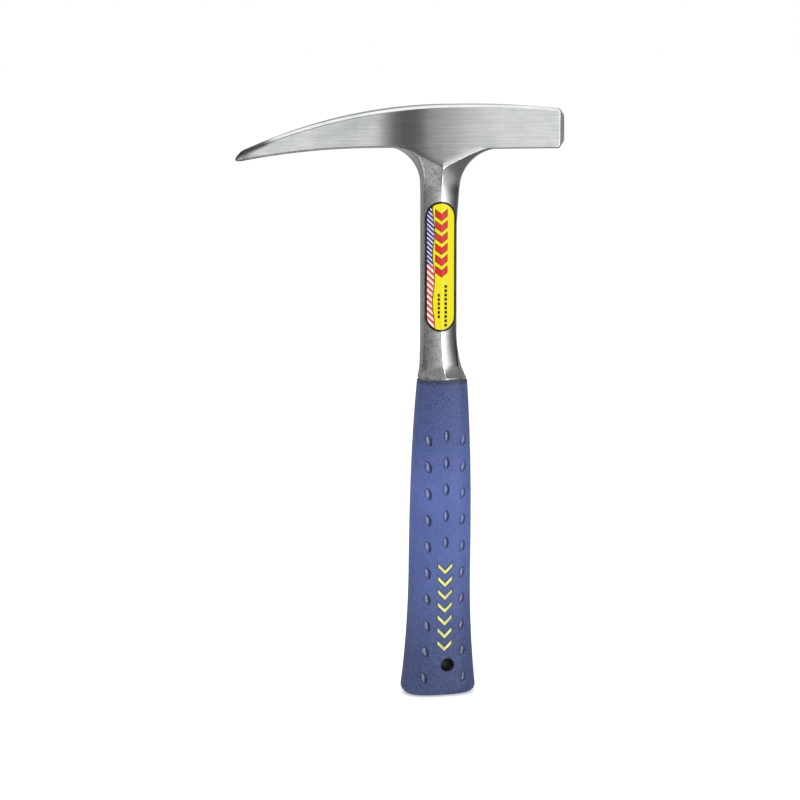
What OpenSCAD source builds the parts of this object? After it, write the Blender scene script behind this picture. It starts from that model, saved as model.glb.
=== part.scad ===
// Rock hammer: one steel forging with a moulded vinyl grip, a printed label and a grip mark.
// Z runs up the handle from the flat butt, the striking face looks along +X, the pick along -X.

/* [Head] */
// Distance from the handle axis to the tip of the pick
pick_reach = 113.2; // [90:0.2:140]
// Distance from the handle axis to the striking face
face_reach = 69.8; // [55:0.5:85]
// Thickness of the head, side to side
head_thickness = 22; // [18:0.5:28]
// Height of the head at the eye, crown to underside
head_depth = 24.4; // [20:0.2:30]
// How far the top of the pick drops from the crown to the tip
pick_drop = 24.2; // [18:0.2:32]
// Height of the pick just behind its tip
tip_height = 5.8; // [4:0.2:9]
// Bevel around the striking face
face_bevel = 3.2; // [1:0.1:5]
// Bevel along the top edges of the head
top_bevel = 1.6; // [0.5:0.1:3]
// Bevel along the lower edges of the head
under_bevel = 0.9; // [0.3:0.1:1.5]
// Fillet between the shank and the underside of the head
neck_fillet = 19; // [12:0.5:24]

/* [Shank] */
// Length of the straight stretch between the shoulder and the neck
straight_length = 72; // [50:0.5:110]
// Width of the shank
shank_width = 19.2; // [16:0.2:24]
// Thickness of the shank over its two ridges
shank_thickness = 13.2; // [11:0.2:16]
// How far each facet falls off per millimetre from the ridge
facet_slope = 0.287; // [0.15:0.005:0.35]
// Bevel between the facets and the narrow sides
shank_bevel = 0.7; // [0.4:0.1:1.2]
// How far the grip stands out all round from the shoulder that rests on it
shoulder_step = 0.5; // [0.3:0.1:1.5]

/* [Grip] */
// Length of the grip, from the butt to the shoulder
grip_length = 178.3; // [150:0.5:200]
// Width of the grip at its top
grip_top_width = 27.4; // [26:0.2:34]
// Width of the grip at its waist
grip_waist_width = 34.2; // [30:0.2:42]
// Width of the grip at the butt
grip_butt_width = 42.8; // [38:0.2:52]
// Thickness of the grip at its top
grip_top_thickness = 22; // [20:0.2:28]
// Thickness of the grip at its waist
grip_waist_thickness = 26.4; // [24:0.2:33]
// Thickness of the grip at the butt
grip_butt_thickness = 29; // [26:0.2:36]
// How far the top of the grip leans towards the striking face
grip_lean = 2.2; // [0:0.1:3]
// Radius around the bottom edge of the butt
butt_radius = 5; // [2:0.5:7]
// Diameter of the lanyard hole
lanyard_bore = 7.2; // [5:0.1:9]
// Height of the lanyard hole above the butt
lanyard_height = 18; // [14:0.5:24]
// Distance from the handle axis to the lanyard hole, towards the striking face
lanyard_offset = 2.2; // [0:0.1:3]

/* [Dimples] */
// Length of the tool that cuts one dimple
dimple_length = 10; // [6:0.1:12]
// Width of the tool that cuts one dimple
dimple_width = 3.8; // [2:0.1:5]
// Depth of one dimple
dimple_depth = 0.9; // [0.4:0.1:1.2]
// Rows of dimples in the two side columns
side_rows = 10; // [4:1:10]
// Rows of dimples in the middle column
middle_rows = 5; // [2:1:5]

/* [Tang] */
// Width of the flat tang inside the grip
tang_width = 19; // [16:0.5:22]
// Thickness of the tang
tang_thickness = 7; // [5:0.2:9]
// Vinyl between the end of the tang and the butt
tang_end = 9; // [6:0.5:12]
// Diameter of the holes that lock the grip to the tang
lock_bore = 9; // [6:0.5:11]

/* [Label] */
// Bare steel between the label and the edges of the facets
label_margin = 0.1; // [0.1:0.1:2]
// Thickness of the label film
label_film = 0.2; // [0.1:0.05:0.4]

/* [Grip mark] */
// Width of one chevron
mark_width = 9; // [5:0.2:11]
// Stroke of one chevron
mark_stroke = 3.4; // [1.5:0.1:4.5]
// Number of chevrons
mark_count = 7; // [2:1:8]
// Thickness of the paint
mark_film = 0.2; // [0.1:0.05:0.3]

/* [Hidden] */
$fn = 48;

// Shank
half_shank = shank_width / 2;
half_ridge = shank_thickness / 2;
ridge_land = 0.15;
neck_rise = 28.6;
neck_curve = 44;
face_taper = 0.08;
face_taper_length = 12;
neck_bevel = 0.05;
side_flare_length = 26.7;
front_flare_length = 10;
shoulder_flare = (grip_top_width - shank_width) / 2 - shoulder_step;
shoulder_swell = (grip_top_thickness - shank_thickness) / 2 - shoulder_step;
straight_start = grip_length + side_flare_length;
neck_start = straight_start + straight_length;

// Head
half_head = head_thickness / 2;
half_tip = 0.55;
taper_power = 1.12;
bevel_share = 0.62;
body_stations = [-9, 0, 10, 20, 31, 42, 53];
underside = neck_start + neck_rise;
overall_height = underside + head_depth;
pick_underside = underside + 1;
crown_start = 8;
crown_end = 20;
poll_curve = 450;
under_start = -38;
taper_start = -18;
tip_length = 4;
point_rise = 1.4;
tip_start = tip_length - pick_reach;
under_drop = pick_drop + tip_height - overall_height + pick_underside;

// Grip
waist_height = 70;
grip_top_power = 2.6;
grip_exponent = 2.7;
grip_sides = 48;
lanyard_wall = 2;
lock_count = 3;
lock_low = lanyard_height + 34;
lock_high = grip_length - 46;

// Dimples
side_low = 10.9;
side_top = grip_length - 33.3;
middle_top = side_top + 2.4;
dimple_pitch = (side_top - side_low) / (side_rows - 1);
side_column = 9.9;
side_spread = 2.3;
spread_rows = 3;
side_lean = 14;
dimple_sides = 8;

// Label
label_length = straight_length;
label_width = shank_width - 2 * (shank_bevel + label_margin);
label_height = straight_start + straight_length / 2;

// Mark
mark_low = lanyard_height + 13;
mark_gap = 3.9;
mark_pitch = mark_stroke + mark_gap;

function blend(a, b, t) = a + (b - a) * t;

// Drop of an arc of this radius over a run, and the radius of an arc from its run and its drop.
function sag(radius, run) = radius - sqrt(max(0, radius * radius - run * run));
function arc_radius(run, drop) = (run * run + drop * drop) / (2 * drop);

pick_curve = arc_radius(crown_start - tip_start, pick_drop);
under_curve = arc_radius(under_start - tip_start, under_drop);

// Height of the top line of the head at x.
function top_line(x) =
    x < crown_start ? overall_height - sag(pick_curve, crown_start - x)
    : x > crown_end ? overall_height - sag(poll_curve, x - crown_end)
    : overall_height;

// Height of the underside of the head at x.
function under_line(x) =
    x < under_start ? pick_underside - sag(under_curve, under_start - x)
    : x < 0 ? pick_underside
    : underside;

// Half thickness of the head at x.
function half_at(x) =
    x > taper_start ? half_head
    : blend(half_head, half_tip, pow((taper_start - x) / (pick_reach + taper_start), taper_power));

// One eight-sided cross-section of the head: place, half thickness, low, high and both bevels.
function head_ring(x, half, low, high, under, top) = [
    [x, -half + under, low], [x, half - under, low], [x, half, low + under], [x, half, high - top],
    [x, half - top, high], [x, -half + top, high], [x, -half, high - top], [x, -half, low + under]];

function bevel_at(x, size) = min(size, bevel_share * half_at(x));

function head_station(x) =
    head_ring(x, half_at(x), under_line(x), top_line(x), bevel_at(x, under_bevel), bevel_at(x, top_bevel));

// A cross-section of the tip, drawn in towards its point by a share.
function tip_station(x, share) =
    let (point = under_line(-pick_reach) + point_rise, half = half_at(x),
        low = blend(under_line(x), point, share), high = blend(top_line(x), point, share),
        bevel = min((high - low) / 4, bevel_share * half))
    head_ring(x, half, low, high, bevel, bevel);

face_start = face_reach - face_bevel;
head_rings = concat(
    [tip_station(-pick_reach, 0.8), tip_station(blend(-pick_reach, tip_start, 0.4), 0.3)],
    [for (i = [0:24]) head_station(blend(tip_start, taper_start, i / 24))],
    [for (x = body_stations) head_station(x)],
    [head_station(face_start)],
    [head_ring(face_reach, half_head - face_bevel, under_line(face_start) + face_bevel,
        top_line(face_start) - face_bevel, top_bevel, top_bevel)]);

// Share of the shoulder's flare reached at z, over the length of that flare.
function shoulder_share(z, length) = pow(min(1, max(0, (grip_length + length - z) / length)), 2);

// How far the middle of the shank leans towards the striking face at z.
function shank_lean(z) = grip_lean * shoulder_share(z, side_flare_length);

// Half width of the shank at z, on the pick side (-1) or the face side (1).
function shank_half(z, side) =
    let (seat = side < 0 ? pick_underside : underside, taper = side < 0 ? 0 : face_taper,
        rise = min(neck_fillet, max(0, z - seat + neck_fillet)))
    half_shank + sag(neck_fillet, rise) + taper * max(0, min(z, seat) - neck_start + face_taper_length)
        + shoulder_flare * shoulder_share(z, side_flare_length);

// Height of the ridge above the middle plane at z, before the head cuts it off.
function ridge_at(z) =
    half_ridge + sag(neck_curve, max(0, z - neck_start))
        + shoulder_swell * shoulder_share(z, front_flare_length);

// Half thickness of the shank at z, a distance x from the ridge.
function facet_at(z, x) = ridge_at(z) - facet_slope * max(0, x - ridge_land);

// Distance from the middle to where the facet meets the flat side of the head.
function land_at(z) = max(ridge_land, (ridge_at(z) - half_head) / facet_slope);

// The three corners of one quarter of the shank, from the ridge outwards.
function shank_quarter(z, side) =
    let (half = shank_half(z, side), bevel = shank_bevel + neck_bevel * max(0, z - neck_start),
        inner = half - bevel, land = min(land_at(z), inner - 0.5),
        edge = min(facet_at(z, inner), half_head - 0.1))
    [[land, min(facet_at(z, land), half_head)], [inner, edge], [half, edge - bevel]];

function shank_ring(z) =
    let (left = shank_quarter(z, -1), right = shank_quarter(z, 1), lean = shank_lean(z))
    concat(
        [for (i = [0:2]) [lean + right[i][0], -right[i][1], z]],
        [for (i = [2:-1:0]) [lean + right[i][0], right[i][1], z]],
        [for (i = [0:2]) [lean - left[i][0], left[i][1], z]],
        [for (i = [2:-1:0]) [lean - left[i][0], -left[i][1], z]]);

shank_top = pick_underside + 1.5;
fillet_start = underside - neck_fillet * 0.6;
shank_rings = [for (z = concat(
    [for (i = [0:8]) grip_length + front_flare_length * i / 8],
    [for (i = [1:6]) blend(grip_length + front_flare_length, straight_start, i / 6)],
    [neck_start - face_taper_length],
    [for (i = [0:7]) blend(neck_start, fillet_start, i / 7)],
    [for (i = [1:14]) blend(fillet_start, underside - 0.01, sin(90 * i / 14))],
    [pick_underside - 0.4, pick_underside - 0.05, shank_top])) shank_ring(z)];

// Skins a row of rings that all have the same number of corners.
module skin(rings) {
    count = len(rings[0]);
    last = len(rings) - 1;
    polyhedron(
        points = [for (ring = rings) each ring],
        faces = concat(
            [[for (i = [count - 1:-1:0]) last * count + i]],
            [[for (i = [0:count - 1]) i]],
            [for (k = [0:last - 1], i = [0:count - 1])
                let (j = (i + 1) % count, a = k * count, b = a + count)
                [a + i, b + i, b + j, a + j]]),
        convexity = 4);
}

module along_y(diameter, length) {
    rotate([90, 0, 0])
        cylinder(d = diameter, h = length, center = true);
}

// The flat bar inside the grip, with its lock holes.
module tang() {
    difference() {
        translate([-tang_width / 2, -tang_thickness / 2, tang_end])
            cube([tang_width, tang_thickness, grip_length - tang_end + 2]);
        for (i = [0:lock_count - 1])
            translate([0, 0, blend(lock_low, lock_high, i / (lock_count - 1))])
                along_y(lock_bore, tang_thickness + 2);
        translate([lanyard_offset, 0, lanyard_height])
            along_y(lanyard_bore + 2 * lanyard_wall, tang_thickness + 2);
    }
}

module forged_hammer() {
    color([0.72, 0.74, 0.73]) {
        skin(head_rings);
        skin(shank_rings);
        tang();
    }
}

// Half sizes of the grip at z.
function grip_half(z, top, waist, butt) =
    let (up = (z - waist_height) / (grip_length - waist_height), down = (waist_height - z) / waist_height)
    (z > waist_height ? waist - (waist - top) * pow(up, grip_top_power)
        : waist + (butt - waist) * down * down) / 2;

function grip_half_width(z) = grip_half(z, grip_top_width, grip_waist_width, grip_butt_width);
function grip_half_depth(z) = grip_half(z, grip_top_thickness, grip_waist_thickness, grip_butt_thickness);
function grip_middle(z) = grip_lean * z / grip_length;
function butt_inset(z) = z < butt_radius ? sag(butt_radius, butt_radius - z) : 0;

function signed_power(value, power) = sign(value) * pow(abs(value), power);

function grip_ring(z, grow) =
    let (a = grip_half_width(z) - butt_inset(z) + grow, b = grip_half_depth(z) - butt_inset(z) + grow)
    [for (i = [0:grip_sides - 1])
        let (turn = 360 * i / grip_sides)
        [grip_middle(z) + a * signed_power(cos(turn), 2 / grip_exponent),
            b * signed_power(sin(turn), 2 / grip_exponent), z]];

// Depth of the grip's surface on its front, a distance x from its middle.
function grip_surface(x, z) =
    grip_half_depth(z) * pow(1 - pow(abs(x) / grip_half_width(z), grip_exponent), 1 / grip_exponent);

module grip_body(grow) {
    heights = concat(
        [for (i = [0:5]) butt_radius * (1 - cos(18 * i))],
        [for (i = [1:16]) blend(butt_radius, grip_length, i / 16)]);
    skin([for (z = heights) grip_ring(z, grow)]);
}

// One pointed dimple cutter lying along Z, on its own axis.
module dimple_cutter() {
    skin([for (share = [-0.98, -0.7, -0.3, 0.3, 0.7, 0.98])
        let (radius = dimple_width / 2 * (1 - share * share), z = share * dimple_length / 2)
        [for (i = [0:dimple_sides - 1])
            let (turn = 360 * i / dimple_sides)
            [radius * cos(turn), radius * sin(turn), z]]]);
}

// Places one dimple, a distance x from the middle and leaning by an angle, on the front (-1) or the back (1).
module dimple(face, x, z, lean) {
    reach = grip_surface(x, z) + dimple_width / 2 - dimple_depth;
    translate([grip_middle(z) + x, face * reach, z])
        rotate([0, lean, 0])
            dimple_cutter();
}

module dimples(face) {
    for (row = [0:middle_rows - 1])
        dimple(face, 0, middle_top - row * dimple_pitch, 0);
    for (row = [0:side_rows - 1], side = [-1, 1]) {
        spread = max(0, row - side_rows + spread_rows) / spread_rows * side_spread;
        dimple(face, side * (side_column + spread), side_top - row * dimple_pitch, side * side_lean);
    }
}

module grip() {
    color([0.33, 0.38, 0.6])
        difference() {
            grip_body(0);
            tang();
            dimples(-1);
            dimples(1);
            translate([lanyard_offset, 0, lanyard_height])
                along_y(lanyard_bore, grip_butt_thickness * 2);
        }
}

// A thin V-shaped sheet that lies on the two front facets of the shank.
module facet_sheet() {
    reach = half_shank;
    linear_extrude(height = label_length)
        polygon([
            [-reach, -facet_at(label_height, reach)],
            [-ridge_land, -half_ridge],
            [ridge_land, -half_ridge],
            [reach, -facet_at(label_height, reach)],
            [reach, -facet_at(label_height, reach) - label_film],
            [ridge_land, -half_ridge - label_film],
            [-ridge_land, -half_ridge - label_film],
            [-reach, -facet_at(label_height, reach) - label_film]]);
}

module label_outline() {
    straight = label_length - label_width;
    for (side = [-1, 1])
        translate([0, side * straight / 2])
            circle(d = label_width, $fn = 64);
    square([label_width, straight], center = true);
}

module shank_label() {
    color([0.98, 0.95, 0.15])
        intersection() {
            translate([0, 0, label_height - label_length / 2])
                facet_sheet();
            translate([0, 0, label_height])
                rotate([90, 0, 0])
                    linear_extrude(height = shank_thickness * 2, center = true)
                        label_outline();
        }
}

module chevron() {
    half = mark_width / 2;
    polygon([
        [-half, half / 2], [0, -half / 2], [half, half / 2],
        [half, half / 2 - mark_stroke], [0, -half / 2 - mark_stroke], [-half, half / 2 - mark_stroke]]);
}

module grip_mark() {
    color([0.95, 0.92, 0.42])
        difference() {
            intersection() {
                grip_body(mark_film);
                for (i = [0:mark_count - 1], height = mark_low + i * mark_pitch)
                    translate([grip_middle(height), 0, height])
                        rotate([90, 0, 0])
                            linear_extrude(height = grip_butt_thickness)
                                chevron();
            }
            grip_body(0);
        }
}

forged_hammer();
grip();
shank_label();
grip_mark();
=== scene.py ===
import math

import bmesh
import bpy
from mathutils import Matrix, Vector


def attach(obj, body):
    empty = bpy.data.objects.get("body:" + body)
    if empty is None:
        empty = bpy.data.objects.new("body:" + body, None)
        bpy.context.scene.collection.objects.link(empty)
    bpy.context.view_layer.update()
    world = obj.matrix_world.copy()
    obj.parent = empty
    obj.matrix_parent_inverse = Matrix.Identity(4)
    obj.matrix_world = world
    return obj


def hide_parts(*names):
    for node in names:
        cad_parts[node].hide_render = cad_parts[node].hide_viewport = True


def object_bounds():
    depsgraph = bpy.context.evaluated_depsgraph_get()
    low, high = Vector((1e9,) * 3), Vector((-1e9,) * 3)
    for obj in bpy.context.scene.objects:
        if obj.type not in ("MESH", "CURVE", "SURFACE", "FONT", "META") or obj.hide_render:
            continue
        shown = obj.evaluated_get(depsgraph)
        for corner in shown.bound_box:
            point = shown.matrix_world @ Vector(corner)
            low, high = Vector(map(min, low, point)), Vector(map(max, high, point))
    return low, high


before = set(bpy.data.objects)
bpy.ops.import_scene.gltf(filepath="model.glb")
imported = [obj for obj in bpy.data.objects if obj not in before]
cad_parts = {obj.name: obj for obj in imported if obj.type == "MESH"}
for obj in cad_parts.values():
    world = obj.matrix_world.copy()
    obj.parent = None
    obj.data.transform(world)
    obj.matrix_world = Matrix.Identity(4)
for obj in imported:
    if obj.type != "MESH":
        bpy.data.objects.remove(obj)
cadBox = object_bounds()
toMetres = Matrix.Scale(0.001, 4)  # shapes are worked out in millimetres


def blendBetween(first, second, share):
    return first + (second - first) * share


def clampShare(value):
    return min(1.0, max(0.0, value))


def sag(radius, run):
    return radius - math.sqrt(max(0.0, radius * radius - run * run))


def arcRadius(run, drop):
    return (run * run + drop * drop) / (2 * drop)


def addNode(tree, kind, **settings):
    node = tree.nodes.new(kind)
    for name, value in settings.items():
        setattr(node, name, value)
    return node


def plug(tree, socket, value):
    if isinstance(value, bpy.types.NodeSocket):
        tree.links.new(value, socket)
    else:
        socket.default_value = value


def maths(tree, operation, *values):
    node = addNode(tree, "ShaderNodeMath", operation=operation)
    for socket, value in zip(node.inputs, values):
        plug(tree, socket, value)
    return node.outputs[0]


def times(tree, first, second):
    return maths(tree, "MULTIPLY", first, second)


def timesPlus(tree, first, second, added):
    return maths(tree, "MULTIPLY_ADD", first, second, added)


def axes(tree, vector):
    node = addNode(tree, "ShaderNodeSeparateXYZ")
    plug(tree, node.inputs[0], vector)
    return node.outputs


def ramp(tree, value, low, high, toLow=0.0, toHigh=1.0):
    node = addNode(tree, "ShaderNodeMapRange", interpolation_type="SMOOTHSTEP")
    for socket, number in zip(node.inputs, (value, low, high, toLow, toHigh)):
        plug(tree, socket, number)
    return node.outputs[0]


def between(tree, value, low, high, soft=0.12):
    rising = ramp(tree, value, low - soft, low + soft)
    return times(tree, rising, ramp(tree, value, high - soft, high + soft, 1.0, 0.0))


def mixColours(tree, share, first, second):
    node = addNode(tree, "ShaderNodeMix", data_type="RGBA")
    plug(tree, node.inputs["Factor"], share)
    plug(tree, node.inputs[6], first)
    plug(tree, node.inputs[7], second)
    return node.outputs[2]


def noise(tree, vector, scale, detail=2.0, roughness=0.5, distortion=0.0):
    node = addNode(tree, "ShaderNodeTexNoise")
    plug(tree, node.inputs["Vector"], vector)
    for name, value in (("Scale", scale), ("Detail", detail), ("Roughness", roughness),
                        ("Distortion", distortion)):
        plug(tree, node.inputs[name], value)
    return node.outputs["Fac"]


def stretched(tree, vector, rotation=(0, 0, 0), scale=(1, 1, 1)):
    node = addNode(tree, "ShaderNodeMapping")
    plug(tree, node.inputs["Vector"], vector)
    plug(tree, node.inputs["Rotation"], rotation)
    plug(tree, node.inputs["Scale"], scale)
    return node.outputs[0]


def linear(red, green, blue):
    parts = [value / 255 for value in (red, green, blue)]
    return tuple(p / 12.92 if p <= 0.04045 else ((p + 0.055) / 1.055) ** 2.4 for p in parts) + (1.0,)


cameraSet = {"azimuth": -13.5, "elevation": 8.0, "distance": 1.4, "lens": 113.457, "sensor": 36,
             "nearest": 0.05, "aimX": -0.00015, "aimZ": 0.00187}


def makeCamera(low, high):
    turn, rise = math.radians(cameraSet["azimuth"]), math.radians(cameraSet["elevation"])
    back = Vector((math.sin(turn) * math.cos(rise), -math.cos(turn) * math.cos(rise), math.sin(rise)))
    right = Vector((math.cos(turn), math.sin(turn), 0))
    middle = (Vector(low) + Vector(high)) / 2
    target = Vector((middle.x + cameraSet["aimX"], 0, middle.z + cameraSet["aimZ"]))
    lens = bpy.data.cameras.new("mainCamera")
    lens.lens = cameraSet["lens"]
    lens.sensor_width = cameraSet["sensor"]
    lens.clip_start = cameraSet["nearest"]
    camera = bpy.data.objects.new("mainCamera", lens)
    place = Matrix((right, back.cross(right), back)).transposed().to_4x4()
    place.translation = target + back * cameraSet["distance"]
    camera.matrix_world = place
    bpy.context.scene.collection.objects.link(camera)
    bpy.context.scene.camera = camera


makeCamera(*cadBox)
print("camera ready")

# brightness of the tent round the object, by compass angle from the front, in degrees
lowRing = (
    (-180, 0.35), (-140, 0.3), (-118, 0.25), (-104, 0.7), (-80, 0.75), (-64, 0.2), (-45, 0.2),
    (-30, 0.22), (-18, 0.4), (-10, 0.85), (-3.4, 1.15), (-0.8, 1.25), (1.2, 0.8), (3, 0.28),
    (4.5, 0.1), (9.5, 0.1), (11.5, 0.15), (13.2, 0.32), (14.6, 0.66), (16.2, 1.15), (21, 1.25),
    (44, 1.1), (48, 0.25), (54, 0.04), (76, 0.04), (91, 0.38), (112, 0.38), (125, 0.3), (140, 0.4),
    (152, 0.5), (180, 0.35))
highRing = (
    (-180, 1.1), (-165, 1.1), (-150, 0.6), (-125, 0.35), (-60, 0.4), (-20, 0.4), (12, 0.2), (18, 0.8),
    (22, 1.1), (42, 1.1), (48, 0.3), (70, 0.2), (140, 0.35), (165, 0.8), (180, 0.9))
groundRing = (
    (-180, 0.6), (-140, 0.3), (-118, 0.25), (-104, 0.8), (-80, 0.8), (-62, 0.4), (-15, 0.6), (0, 0.35),
    (13, 0.2), (18, 0.8), (24, 1.1), (44, 0.8), (51, 0.6), (58, 0.2), (100, 0.15), (150, 0.5),
    (180, 0.6))
tentSet = {"highFrom": 10, "highTo": 24, "overheadLow": 52, "overheadHigh": 66, "overhead": 1.5,
           "groundHigh": -16, "groundLow": -30, "backdrop": 1.0, "strength": 0.85, "ringTop": 1.5}


def tentRing(tree, turn, brightness):
    ring = addNode(tree, "ShaderNodeValToRGB")
    plug(tree, ring.inputs[0], turn)
    stops = ring.color_ramp.elements
    for angle, value in brightness:
        place = (angle + 180) / 360
        stop = {0: stops[0], 1: stops[-1]}.get(place) or stops.new(place)
        share = value / tentSet["ringTop"]
        stop.color = (share, share, share, 1)
    return times(tree, ring.outputs[0], tentSet["ringTop"])


def mixNumbers(tree, share, first, second):
    node = addNode(tree, "ShaderNodeMix", data_type="FLOAT")
    for socket, value in zip(node.inputs[:1] + node.inputs[2:4], (share, first, second)):
        plug(tree, socket, value)
    return node.outputs[0]


def makeWorld():
    world = bpy.data.worlds.new("lightTent")
    bpy.context.scene.world = world
    world.use_nodes = True
    tree = world.node_tree
    tree.nodes.clear()
    x, y, z = axes(tree, addNode(tree, "ShaderNodeTexCoord").outputs["Generated"])
    turn = timesPlus(tree, maths(tree, "ARCTAN2", x, times(tree, y, -1.0)),
                 0.5 / math.pi, 0.5)
    height = times(tree, maths(tree, "ARCSINE", z), 180 / math.pi)
    shade = mixNumbers(tree, ramp(tree, height, tentSet["highFrom"], tentSet["highTo"]),
                       tentRing(tree, turn, lowRing), tentRing(tree, turn, highRing))
    shade = mixNumbers(tree, ramp(tree, height, tentSet["overheadLow"], tentSet["overheadHigh"]),
                       shade, tentSet["overhead"])
    shade = mixNumbers(tree, ramp(tree, height, tentSet["groundLow"], tentSet["groundHigh"]),
                       tentRing(tree, turn, groundRing), shade)
    seen = addNode(tree, "ShaderNodeBackground")
    plug(tree, seen.inputs["Color"], (1, 1, 1, 1))
    plug(tree, seen.inputs["Strength"], tentSet["backdrop"])
    tent = addNode(tree, "ShaderNodeBackground")
    plug(tree, tent.inputs["Color"], shade)
    plug(tree, tent.inputs["Strength"], tentSet["strength"])
    mixed = addNode(tree, "ShaderNodeMixShader")
    plug(tree, mixed.inputs[0], addNode(tree, "ShaderNodeLightPath").outputs["Is Camera Ray"])
    plug(tree, mixed.inputs[1], tent.outputs[0])
    plug(tree, mixed.inputs[2], seen.outputs[0])
    plug(tree, addNode(tree, "ShaderNodeOutputWorld").inputs["Surface"], mixed.outputs[0])


softboxes = (
    {"name": "overheadSoftbox", "place": (-0.2, -0.3, 1.9), "aim": (0, 0, 0.2), "wide": 1.3, "tall": 1.3,
     "power": 9.0, "shine": False},
    {"name": "sideSoftbox", "place": (1.01, -1.45, 0.4), "aim": (0, 0, 0.4), "wide": 0.3, "tall": 3.0,
     "power": 15.0, "shine": True},
    {"name": "leftSoftbox", "place": (-1.5, -0.9, 0.7), "aim": (0, 0, 0.2), "wide": 0.8, "tall": 1.2,
     "power": 3.0, "shine": False},
)


def makeSoftbox(settings):
    light = bpy.data.lights.new(settings["name"], "AREA")
    light.shape = "RECTANGLE"
    light.size = settings["wide"]
    light.size_y = settings["tall"]
    light.energy = settings["power"]
    lamp = bpy.data.objects.new(settings["name"], light)
    lamp.location = settings["place"]
    toward = Vector(settings["aim"]) - Vector(settings["place"])
    lamp.rotation_euler = toward.to_track_quat("-Z", "Y").to_euler()
    lamp.visible_glossy = settings["shine"]
    lamp.visible_camera = False
    bpy.context.scene.collection.objects.link(lamp)


makeWorld()
for softbox in softboxes:
    makeSoftbox(softbox)
bpy.context.scene.view_settings.view_transform = "Standard"

floorSet = {"half": 40.0, "drop": 0.0003, "paper": (0.9, 0.9, 0.9, 1), "glow": 0.45}


def makeFloor():
    bm = bmesh.new()
    bmesh.ops.create_grid(bm, x_segments=1, y_segments=1, size=floorSet["half"])
    bmesh.ops.translate(bm, verts=bm.verts, vec=(0, 0, -floorSet["drop"]))
    mesh = bpy.data.meshes.new("paperFloor")
    bm.to_mesh(mesh)
    bm.free()
    floor = bpy.data.objects.new("paperFloor", mesh)
    bpy.context.scene.collection.objects.link(floor)
    paper = bpy.data.materials.new("paperFloor")
    paper.use_nodes = True
    tree = paper.node_tree
    tree.nodes.clear()
    plain = addNode(tree, "ShaderNodeBsdfDiffuse")
    plug(tree, plain.inputs["Color"], floorSet["paper"])
    glow = addNode(tree, "ShaderNodeEmission")  # keeps the paper white out to the horizon
    plug(tree, glow.inputs["Strength"], floorSet["glow"])
    both = addNode(tree, "ShaderNodeAddShader")
    plug(tree, both.inputs[0], plain.outputs[0])
    plug(tree, both.inputs[1], glow.outputs[0])
    plug(tree, addNode(tree, "ShaderNodeOutputMaterial").inputs["Surface"], both.outputs[0])
    floor.data.materials.append(paper)
    floor.visible_glossy = False


makeFloor()
print("light tent and floor ready")


def firstRing(bm, places):
    layer = bm.verts.layers.int.new("ringPoint")
    made = bmesh.ops.create_circle(bm, cap_ends=False, radius=1, segments=len(places))
    for index, vert in enumerate(made["verts"]):
        vert[layer] = index
        vert.co = places[index]
    return [edge for edge in bm.edges if edge.is_wire]


def nextRing(bm, edges, places):
    made = bmesh.ops.extrude_edge_only(bm, edges=edges)["geom"]
    layer = bm.verts.layers.int["ringPoint"]
    fresh = {item for item in made if isinstance(item, bmesh.types.BMVert)}
    for vert in fresh:
        vert.co = places[vert[layer]]
    return [item for item in made if isinstance(item, bmesh.types.BMEdge)
            and item.verts[0] in fresh and item.verts[1] in fresh]


def ringSkin(name, rings):
    bm = bmesh.new()
    edges = firstRing(bm, rings[0])
    bmesh.ops.edgeloop_fill(bm, edges=edges)
    for places in rings[1:]:
        edges = nextRing(bm, edges, places)
    bmesh.ops.edgeloop_fill(bm, edges=edges)
    bmesh.ops.recalc_face_normals(bm, faces=bm.faces)
    return shellFrom(name, bm)


def shellFrom(name, bm):
    mesh = bpy.data.meshes.new(name)
    bm.to_mesh(mesh)
    bm.free()
    shell = bpy.data.objects.new(name, mesh)
    bpy.context.scene.collection.objects.link(shell)
    return shell


def solidStep(base, tool, operation):
    step = base.modifiers.new("step", "BOOLEAN")
    step.operation = operation
    step.solver = "EXACT"
    step.object = tool
    graph = bpy.context.evaluated_depsgraph_get()
    made = bpy.data.meshes.new_from_object(base.evaluated_get(graph))
    base.modifiers.clear()
    base.data = made
    bpy.data.objects.remove(tool)


def roundedLoop(corners, radii, steps=2):
    loop = []
    count = len(corners)
    for index, corner in enumerate(corners):
        before, after = corners[index - 1], corners[(index + 1) % count]
        towardBefore, towardAfter = before - corner, after - corner
        reach = min(radii[index], 0.42 * towardBefore.length, 0.42 * towardAfter.length)
        start = corner + towardBefore.normalized() * reach
        end = corner + towardAfter.normalized() * reach
        for step in range(steps + 1):
            share = step / steps
            loop.append(start * (1 - share) ** 2 + corner * 2 * share * (1 - share) + end * share ** 2)
    return loop


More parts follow.
